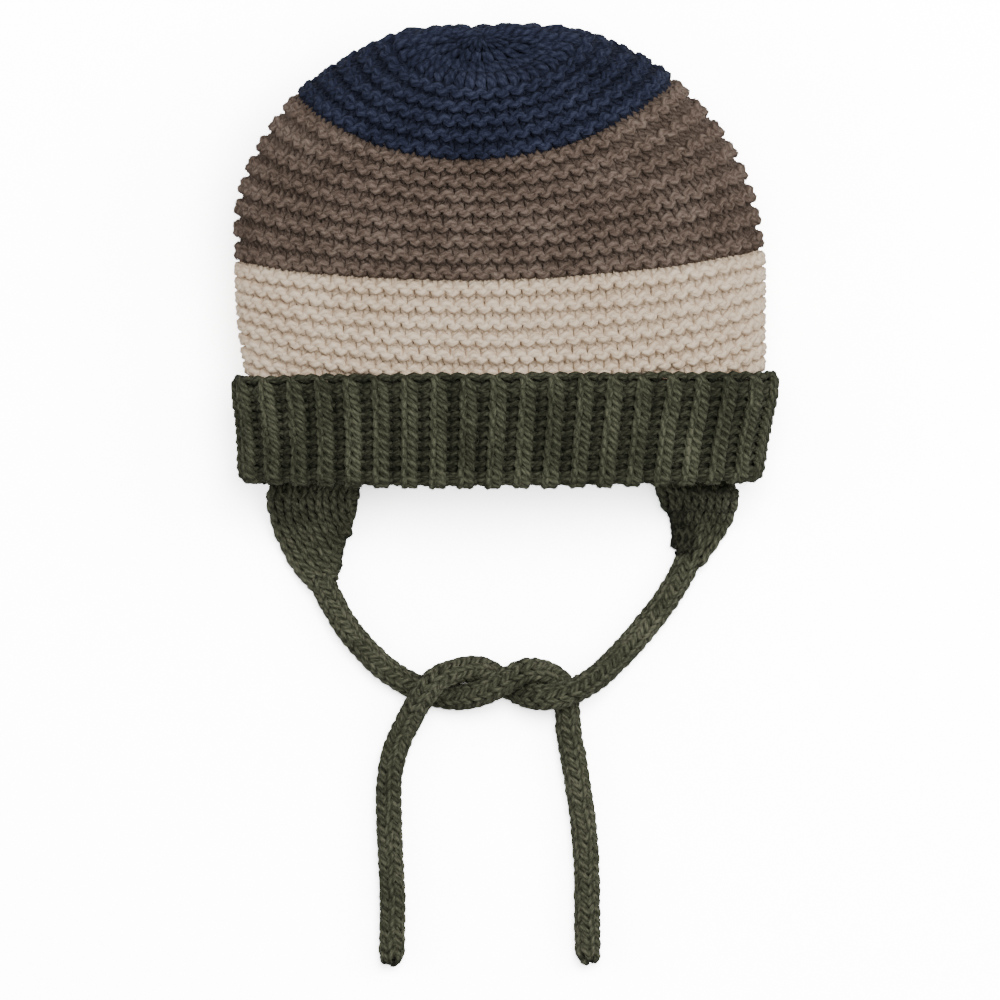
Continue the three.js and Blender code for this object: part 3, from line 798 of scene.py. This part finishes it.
class HatBandsBuild(bpy.types.Operator):
    """Build the yarn and fabric of the cream, taupe and navy stripes"""
    bl_idname = "hat.bands"
    bl_label = "Stripes"

    def execute(self, context):
        yarn, bands = context.scene.hat_yarn, context.scene.hat_bands
        depth = yarn.radius + bands.loop_depth
        stripes = [
            ("cream", "band_cream", CUFF_HEIGHT, CREAM_END, bands.cream_ridges, (0.00482, 0.0073)),
            ("taupe", "band_taupe", CREAM_END, TAUPE_END, bands.taupe_ridges, None),
            ("navy", "crown_top", TAUPE_END, NAVY_RIDGES_END, bands.navy_ridges, None),
        ]
        for colour, node, start, end, ridges, pitch in stripes:
            courses = Courses()
            even = (end - start) / ridges
            garter(courses, end, ridges, pitch or (even, even), yarn.stitch, depth)
            if colour == "navy":
                self.crown_centre(courses, yarn, depth)
            piece = knit(courses, f"{colour}_knitting", material_of(colour, "yarn"), yarn_radius=yarn.radius,
                         loop_height=0.9, loop_waist=0.1, loop_depth=bands.loop_depth, bulge=0.16,
                         jitter=yarn.jitter, seed=yarn.seed)
            settle(piece, colour, node)
            fuzz(piece, colour, yarn)
            low = start - 0.002 if colour == "cream" else start
            high = FABRIC_LENGTH - 0.003 if colour == "navy" else end
            ground = shell(f"{colour}_fabric", low + 0.0002, high - 0.0002, colour, 2 * ridges + 2, even / 2,
                           closed_end=colour == "navy")
            settle(ground, colour)
        return {"FINISHED"}

    def crown_centre(self, courses, yarn, depth):
        """Plain rounds whose columns run together by twos at the centre, and one more ridge at the back."""
        stitches = (18, 18, 9, 9)
        spacing = (FABRIC_LENGTH - NAVY_RIDGES_END) / (len(stitches) + 0.3)
        for k, count in enumerate(stitches):
            middle = NAVY_RIDGES_END + (k + 0.5) * spacing
            turn = round_turns(middle, count * PER_STITCH)[0]
            back = smoothstep(-np.sin(np.interp(turn, TURN_SHARES, TURN_ANGLES)), 0.0, 0.4) if k < 2 else 0
            foot, head = (1 - 2 * back, 1) if k == 0 else (1, 1 - 2 * back)
            body_course(courses, turn, middle, spacing, foot, head, depth, 1.3)


class HatCuffBuild(bpy.types.Operator):
    """Build the turned-up ribbed cuff"""
    bl_idname = "hat.cuff"
    bl_label = "Cuff"

    def execute(self, context):
        yarn, sizes = context.scene.hat_yarn, context.scene.hat_cuff
        courses = Courses()
        for k in range(CUFF_ROWS):
            cuff_course(courses, 0.0017 + k * sizes.row, sizes.stitches, sizes.row, 0.0029)
        piece = knit(courses, "cuff_knitting", material_of("green", "yarn"), yarn_radius=yarn.radius * 0.95,
                     loop_height=0.85, loop_waist=0.27, loop_depth=0.0009, lean=-0.2, bulge=0.08,
                     rib_depth=sizes.rib_depth, jitter=yarn.jitter, seed=yarn.seed)
        settle(piece, "green", "cuff")
        fuzz(piece, "green", yarn)
        self.ground(sizes)
        return {"FINISHED"}

    def ground(self, sizes):
        count = sizes.stitches * 3
        turn = np.arange(count) / count
        fold_end = CUFF_LEG + FOLD_ARC
        ways = np.concatenate([np.linspace(0.0006, CUFF_LEG, 10), CUFF_LEG + np.linspace(0, FOLD_ARC, 9)[1:],
                               fold_end + np.linspace(0, 0.031, 9)[1:]])
        depths = [(way, 0.0037 if way < CUFF_LEG + FOLD_ARC * 0.8 else 0.0001) for way in ways]
        depths += [(way, WALL - 0.0002) for way in ways[::-1]]
        rings = [cuff_place(turn, np.full(count, way), depth) for way, depth in depths]
        uvs = [np.stack([turn * sizes.stitches, np.full(count, way / sizes.row)], -1) for way, _ in depths]
        piece = mesh_object("cuff_fabric", np.concatenate(rings), strip_faces(len(rings), count, joined=True),
                            material_of("green", "fabric"), np.concatenate(uvs))
        outward(piece)
        settle(piece, "green")


# Cords

def smooth_path(table, step):
    """Evenly spaced points of the centripetal curve through a cord's table."""
    low = TIE_DIAMETER / 2 + TIE_LIFT
    points = np.array([[to_x(x), to_y(y), low + h * (TIE_DIAMETER + CROSSING_GAP)] for x, y, h in table])
    before = points[0] * 2 - points[1]
    after = points[-1] * 2 - points[-2]
    points = np.vstack([before, points, after])
    fine = []
    for i in range(1, len(points) - 2):
        p0, p1, p2, p3 = points[i - 1:i + 3]
        knots = np.cumsum([0] + [np.linalg.norm(b - a) ** 0.5 for a, b in ((p0, p1), (p1, p2), (p2, p3))])
        t = np.linspace(knots[1], knots[2], 24, endpoint=False)[:, None]
        a1 = (knots[1] - t) / knots[1] * p0 + t / knots[1] * p1
        a2 = (knots[2] - t) / (knots[2] - knots[1]) * p1 + (t - knots[1]) / (knots[2] - knots[1]) * p2
        a3 = (knots[3] - t) / (knots[3] - knots[2]) * p2 + (t - knots[2]) / (knots[3] - knots[2]) * p3
        b1 = (knots[2] - t) / knots[2] * a1 + t / knots[2] * a2
        b2 = (knots[3] - t) / (knots[3] - knots[1]) * a2 + (t - knots[1]) / (knots[3] - knots[1]) * a3
        fine.append((knots[2] - t) / (knots[2] - knots[1]) * b1 + (t - knots[1]) / (knots[2] - knots[1]) * b2)
    fine = np.vstack([*fine, points[-2:-1]])
    reach = np.concatenate([[0], np.cumsum(np.linalg.norm(np.diff(fine, axis=0), axis=1))])
    count = max(2, round(reach[-1] / step))
    even = np.linspace(0, reach[-1], count + 1)
    return np.stack([np.interp(even, reach, fine[:, k]) for k in range(3)], -1), reach[-1]


def path_frames(path):
    """Tangents and two steady cross directions along a path."""
    tangent = unit(np.gradient(path, axis=0))
    side = np.empty_like(path)
    side[0] = unit(np.cross(tangent[0], [0, 0, 1.0]))
    for i in range(1, len(path)):
        kept = side[i - 1] - tangent[i] * (side[i - 1] @ tangent[i])
        side[i] = kept / np.linalg.norm(kept)
    return tangent, side, np.cross(side, tangent)


class HatTies(bpy.types.PropertyGroup):
    stitches: IntProperty(name="Stitches", description="Stitches round a cord", default=5)
    row: FloatProperty(name="Row height", description="Height of one round of a cord", default=0.0037,
                       unit="LENGTH")


class HatTiesBuild(bpy.types.Operator):
    """Build the two knitted cords"""
    bl_idname = "hat.ties"
    bl_label = "Tie cords"

    def execute(self, context):
        self.cord("tie_left", LEFT_TIE, context, 1)
        self.cord("tie_right", RIGHT_TIE, context, -1)
        return {"FINISHED"}

    def cord(self, node, table, context, hand):
        yarn, sizes = context.scene.hat_yarn, context.scene.hat_ties
        path, length = smooth_path(table, 0.0005)
        tangent, side, over = path_frames(path)
        reach = np.linspace(0, length, len(path))
        radius = yarn.radius * 0.9
        middle = TIE_DIAMETER / 2 - radius - 0.0001
        n = round(length / sizes.row * sizes.stitches * PER_STITCH)
        share = np.arange(n) / (n - 1)
        place = share * (length - 0.0012)
        turn = place / sizes.row
        angle = turn * TAU * hand
        left = length - 0.0012 - place
        closing = np.sqrt(np.clip(1 - (1 - np.clip(left / 0.004, 0, 1)) ** 2, 0.04, 1))
        row = sizes.row * np.clip(left / (0.8 * sizes.row), 0.3, 1)[:, None]

        def at(values):
            return np.stack([np.interp(place, reach, values[:, k]) for k in range(3)], -1)

        out = unit(at(side) * np.cos(angle)[:, None] + at(over) * np.sin(angle)[:, None])
        points = at(path) + out * (middle * closing)[:, None]
        along = unit(at(tangent))
        around = unit(np.cross(along, out)) * hand * (TAU * middle * closing / sizes.stitches)[:, None]
        courses = Courses()
        courses.add(points, around, along * row, out, turn * sizes.stitches * TAU, 1, 1, closed=False)
        piece = knit(courses, f"{node}_knitting", material_of("lit_green", "yarn"), yarn_radius=radius,
                     loop_height=0.8, loop_waist=0.16, loop_depth=0.0005, jitter=yarn.jitter * 0.6,
                     drift=0.0, seed=yarn.seed)
        core = self.core(f"{node}_core", path, side, over, middle - 0.0002, length)
        settle(piece, "lit_green", node)
        settle(core, "lit_green")
        fuzz(piece, "lit_green", yarn)

    def core(self, name, path, side, over, radius, length):
        """The inside of a cord, closed at both ends."""
        sides = 10
        points, uvs = [], []
        picked = [*range(0, len(path) - 10, 4), *range(len(path) - 9, len(path) - 2, 2)]
        for row, i in enumerate(picked):
            closing = math.sqrt(max(1 - max(1 - (len(path) - 1 - i) / 9, 0) ** 2, 0.05))
            for j in range(sides):
                angle = TAU * j / sides
                size = radius * (0.6 if i == 0 else closing)
                points.append(path[i] + (side[i] * math.cos(angle) + over[i] * math.sin(angle)) * size)
                uvs.append((j / 2, row))
        faces = capped_faces(len(picked), sides)
        piece = mesh_object(name, points, faces, material_of("lit_green", "fabric"), uvs)
        outward(piece)
        return piece


# Flaps

def inner_face_height(x, y):
    """Height of the cuff's inner face on the back half above a place."""
    leg = CUFF_HEIGHT - 0.0025
    rim = columns_at(RINGS, np.array([0.0]))[0]
    top = columns_at(RINGS, np.array([leg / FABRIC_LENGTH]))[0]
    rim_y, top_y = (ring[7] * HAT_HEIGHT - RIM_TO_ORIGIN for ring in (rim, top))
    distance = max((y - rim_y) / (top_y - rim_y), 0.14) * leg
    turns = np.linspace(0.5, 1.0, 101)
    places = off_body(turns, np.full(101, distance), np.full(101, -WALL))
    order = np.argsort(places[:, 0])
    return max(float(np.interp(x, places[order, 0], places[order, 2])), WALL)


class Flap:
    """Top face of a flap as a function of a share across and a share down."""

    def __init__(self, table):
        self.rows = np.array(table)
        self.rows[:, [0, 2]] = to_x(self.rows[:, [0, 2]])
        self.rows[:, [1, 3]] = to_y(self.rows[:, [1, 3]])
        self.reach = np.linspace(0, 1, len(table))
        heights = [[inner_face_height(*row[:2]), inner_face_height(*row[2:4])] for row in self.rows]
        self.table = np.column_stack([self.reach, self.rows, np.array(heights)])

    def place(self, across, down, depth=0.0):
        """A point under the face by depth. The face curves down to its middle plane at both edges."""
        values = columns_at(self.table, np.asarray(down, float))
        left_x, left_y, right_x, right_y, lift, tip, left_z, right_z = np.moveaxis(values, -1, 0)
        across = np.asarray(across, float)
        wall = WALL + 0.0035 * np.clip(tip, 0, 1)
        x = left_x + (right_x - left_x) * across
        y = left_y + (right_y - left_y) * across
        under = np.clip(lift, 0, 1) * (left_z + (right_z - left_z) * across + 0.0003)
        width = np.hypot(right_x - left_x, right_y - left_y)
        edge = np.clip(np.minimum(across, 1 - across) * width / (wall * 0.5), 0, 1)
        round_off = np.sqrt(np.clip(1 - (1 - edge) ** 2, 0, 1))
        z = under + wall / 2 + (wall / 2 - depth) * round_off
        return np.stack([x, y, z], -1)


class HatFlapsBuild(bpy.types.Operator):
    """Build the two ear flaps"""
    bl_idname = "hat.flaps"
    bl_label = "Ear flaps"

    def execute(self, context):
        self.flap("ear_flap_left", LEFT_FLAP, False, context)
        self.flap("ear_flap_right", RIGHT_FLAP, True, context)
        return {"FINISHED"}

    def flap(self, node, table, from_right, context):
        """Plain rows whose columns follow the flap's long edge and end one by one at the other."""
        yarn = context.scene.hat_yarn
        surface = Flap(table)
        rows = round(abs(surface.rows[-1][1] - surface.rows[0][1]) / 0.0038)
        courses = Courses()

        def spot(down, reach):
            values = columns_at(surface.table, np.array([down]))[0]
            share = np.clip(reach / math.hypot(values[2] - values[0], values[3] - values[1]), 0.03, 0.97)
            return surface.place(1 - share if from_right else share, np.full(len(share), down), 0.0019)

        for k in range(rows + 1):
            down = (k + 0.2) / (rows + 0.4)
            values = columns_at(surface.table, np.array([down]))[0]
            width = math.hypot(values[2] - values[0], values[3] - values[1])
            count = round(width / yarn.stitch * PER_STITCH)
            reach = np.arange(1, count) / count * width
            points = spot(down, reach)
            step = 0.5 / rows
            wale = spot(min(down + step, 1.0), reach) - spot(max(down - step, 0.0), reach)
            around = np.gradient(points, axis=0) * PER_STITCH
            out = unit(np.cross(around, wale))
            out[out[:, 2] < 0] *= -1
            # The right flap's left margin near the tip is lowered and, through the rib value, gets painted
            # shade.
            turned = smoothstep(reach, width - 0.0085, width - 0.006) * smoothstep(down, 0.45, 0.62)
            courses.add(points, around, wale, out, reach / yarn.stitch * TAU, 1, 1, closed=False,
                        rib=-turned if from_right else 0.0)
        down = np.linspace(0.08, 0.97, 12 * PER_STITCH)
        edge = surface.place(np.full(len(down), 0.05 if from_right else 0.95), down, 0.0021)
        along = np.gradient(edge, axis=0) * PER_STITCH
        inwards = unit(np.cross(along, [0, 0, 1.0])) * 0.0011
        upwards = np.broadcast_to([0, 0, 1.0], edge.shape)
        phase = np.arange(len(down)) / PER_STITCH * TAU
        # Painted shade: the right flap's edge row is lowered and darker towards the tip, through the rib
        # value.
        courses.add(edge, along, inwards, upwards, phase, 1, 1, closed=False,
                    rib=-smoothstep(down, 0.3, 0.5) if from_right else 0.0)
        piece = knit(courses, f"{node}_knitting", material_of("lit_green", "yarn"), yarn_radius=yarn.radius,
                     loop_height=0.8, loop_waist=0.2, loop_depth=0.0006, rib_depth=0.0018, jitter=yarn.jitter,
                     drift=0.0, seed=yarn.seed)
        settle(piece, "lit_green", node)
        fuzz(piece, "lit_green", yarn)
        self.ground(node, surface, rows)

    def ground(self, node, surface, rows):
        points, uvs = [], []
        across = np.concatenate([np.linspace(0, 1, 19), np.linspace(1, 0, 19)[1:-1]])
        under = np.arange(len(across)) >= 19
        count = len(across)
        for k in range(rows * 2 + 1):
            down = np.full(count, k / (rows * 2))
            place = surface.place(across, down, 0.0022)
            values = columns_at(surface.table, down)
            lift, left_z, right_z = np.clip(values[:, 4], 0, 1), values[:, 6], values[:, 7]
            base = lift * (left_z + (right_z - left_z) * across + 0.0003)
            place[under, 2] = base[under] + 0.0003
            points.append(place)
            uvs.append(np.stack([across * 6, np.full(count, k / 2.0)], -1))
        piece = mesh_object(f"{node}_fabric", np.concatenate(points), capped_faces(len(points), count),
                            material_of("lit_green", "fabric"), np.concatenate(uvs))
        outward(piece)
        settle(piece, "lit_green")


class HatStage(bpy.types.Operator):
    """Set the camera, the soft lights and the pale floor"""
    bl_idname = "hat.stage"
    bl_label = "Stage"

    def execute(self, context):
        scene = context.scene
        middle = Vector((0.0, -0.06685, 0.0))
        distance = 12.0
        camera = bpy.data.cameras.new("camera")
        camera.sensor_width = 36
        camera.lens = 36 * distance / 0.35
        camera.clip_end = 20
        seen = bpy.data.objects.new("camera", camera)
        seen.location = middle + Vector((0, 0, distance))
        scene.collection.objects.link(seen)
        scene.camera = seen
        lights = [
            ("overhead", (0.2, 0.3, 1.5), 0.8, 23),
            ("from_right", (1.1, 0.3, 0.9), 0.8, 8),
            ("from_left", (-1.2, 0.0, 0.7), 0.8, 5),
        ]
        for name, place, size, power in lights:
            light = bpy.data.lights.new(name, "AREA")
            light.shape = "SQUARE"
            light.size = size
            light.energy = power
            lamp = bpy.data.objects.new(name, light)
            lamp.location = place
            lamp.rotation_euler = (middle - Vector(place)).to_track_quat("-Z", "Y").to_euler()
            scene.collection.objects.link(lamp)
        world = bpy.data.worlds.new("soft_room")
        world.use_nodes = True
        world.node_tree.nodes["Background"].inputs[0].default_value = (1, 1, 1, 1)
        world.node_tree.nodes["Background"].inputs[1].default_value = 0.5
        scene.world = world
        material, t, surface = new_material("floor")
        surface.inputs["Base Color"].default_value = (0.9, 0.9, 0.9, 1)
        surface.inputs["Roughness"].default_value = 0.9
        seen_floor = t.node("ShaderNodeBsdfDiffuse", Color=(9.0, 9.0, 9.0, 1))
        mixed = t.node("ShaderNodeMixShader", i1=surface.outputs[0], i2=seen_floor.outputs[0],
                       Fac=t.node("ShaderNodeLightPath").outputs["Is Camera Ray"])
        t.put(material.node_tree.nodes["Material Output"], "Surface", mixed.outputs[0])
        size = 3.0
        floor = mesh_object("floor", [(-size, -size, -0.0004), (size, -size, -0.0004), (size, size, -0.0004),
                                      (-size, size, -0.0004)], [(0, 1, 2, 3)], material)
        return {"FINISHED"}


class HatPanel(bpy.types.Panel):
    """Sizes and build buttons of the hat"""
    bl_label = "Knitted baby hat"
    bl_idname = "VIEW3D_PT_knitted_hat"
    bl_space_type = "VIEW_3D"
    bl_region_type = "UI"
    bl_category = "Hat"

    def draw(self, context):
        for group, operator in GROUPS:
            box = self.layout.box()
            if group:
                settings = getattr(context.scene, group)
                for name in settings.__annotations__:
                    box.prop(settings, name)
            if operator:
                box.operator(operator)


GROUPS = [
    ("hat_yarn", None), ("hat_bands", "hat.bands"), ("hat_cuff", "hat.cuff"), (None, "hat.flaps"),
    ("hat_ties", "hat.ties"), (None, "hat.stage"),
]
PROPERTIES = {"hat_yarn": HatYarn, "hat_bands": HatBands, "hat_cuff": HatCuff, "hat_ties": HatTies}
CLASSES = [*PROPERTIES.values(), HatBandsBuild, HatCuffBuild, HatTiesBuild, HatFlapsBuild, HatStage, HatPanel]


def register():
    for kind in CLASSES:
        bpy.utils.register_class(kind)
    for name, kind in PROPERTIES.items():
        setattr(bpy.types.Scene, name, PointerProperty(type=kind))


def unregister():
    for name in PROPERTIES:
        delattr(bpy.types.Scene, name)
    for kind in reversed(CLASSES):
        bpy.utils.unregister_class(kind)


def main():
    register()
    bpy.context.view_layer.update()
    bpy.ops.hat.stage()
    bpy.ops.hat.ties()
    bpy.ops.hat.bands()
    bpy.ops.hat.cuff()
    bpy.ops.hat.flaps()


if __name__ == "__main__":
    main()
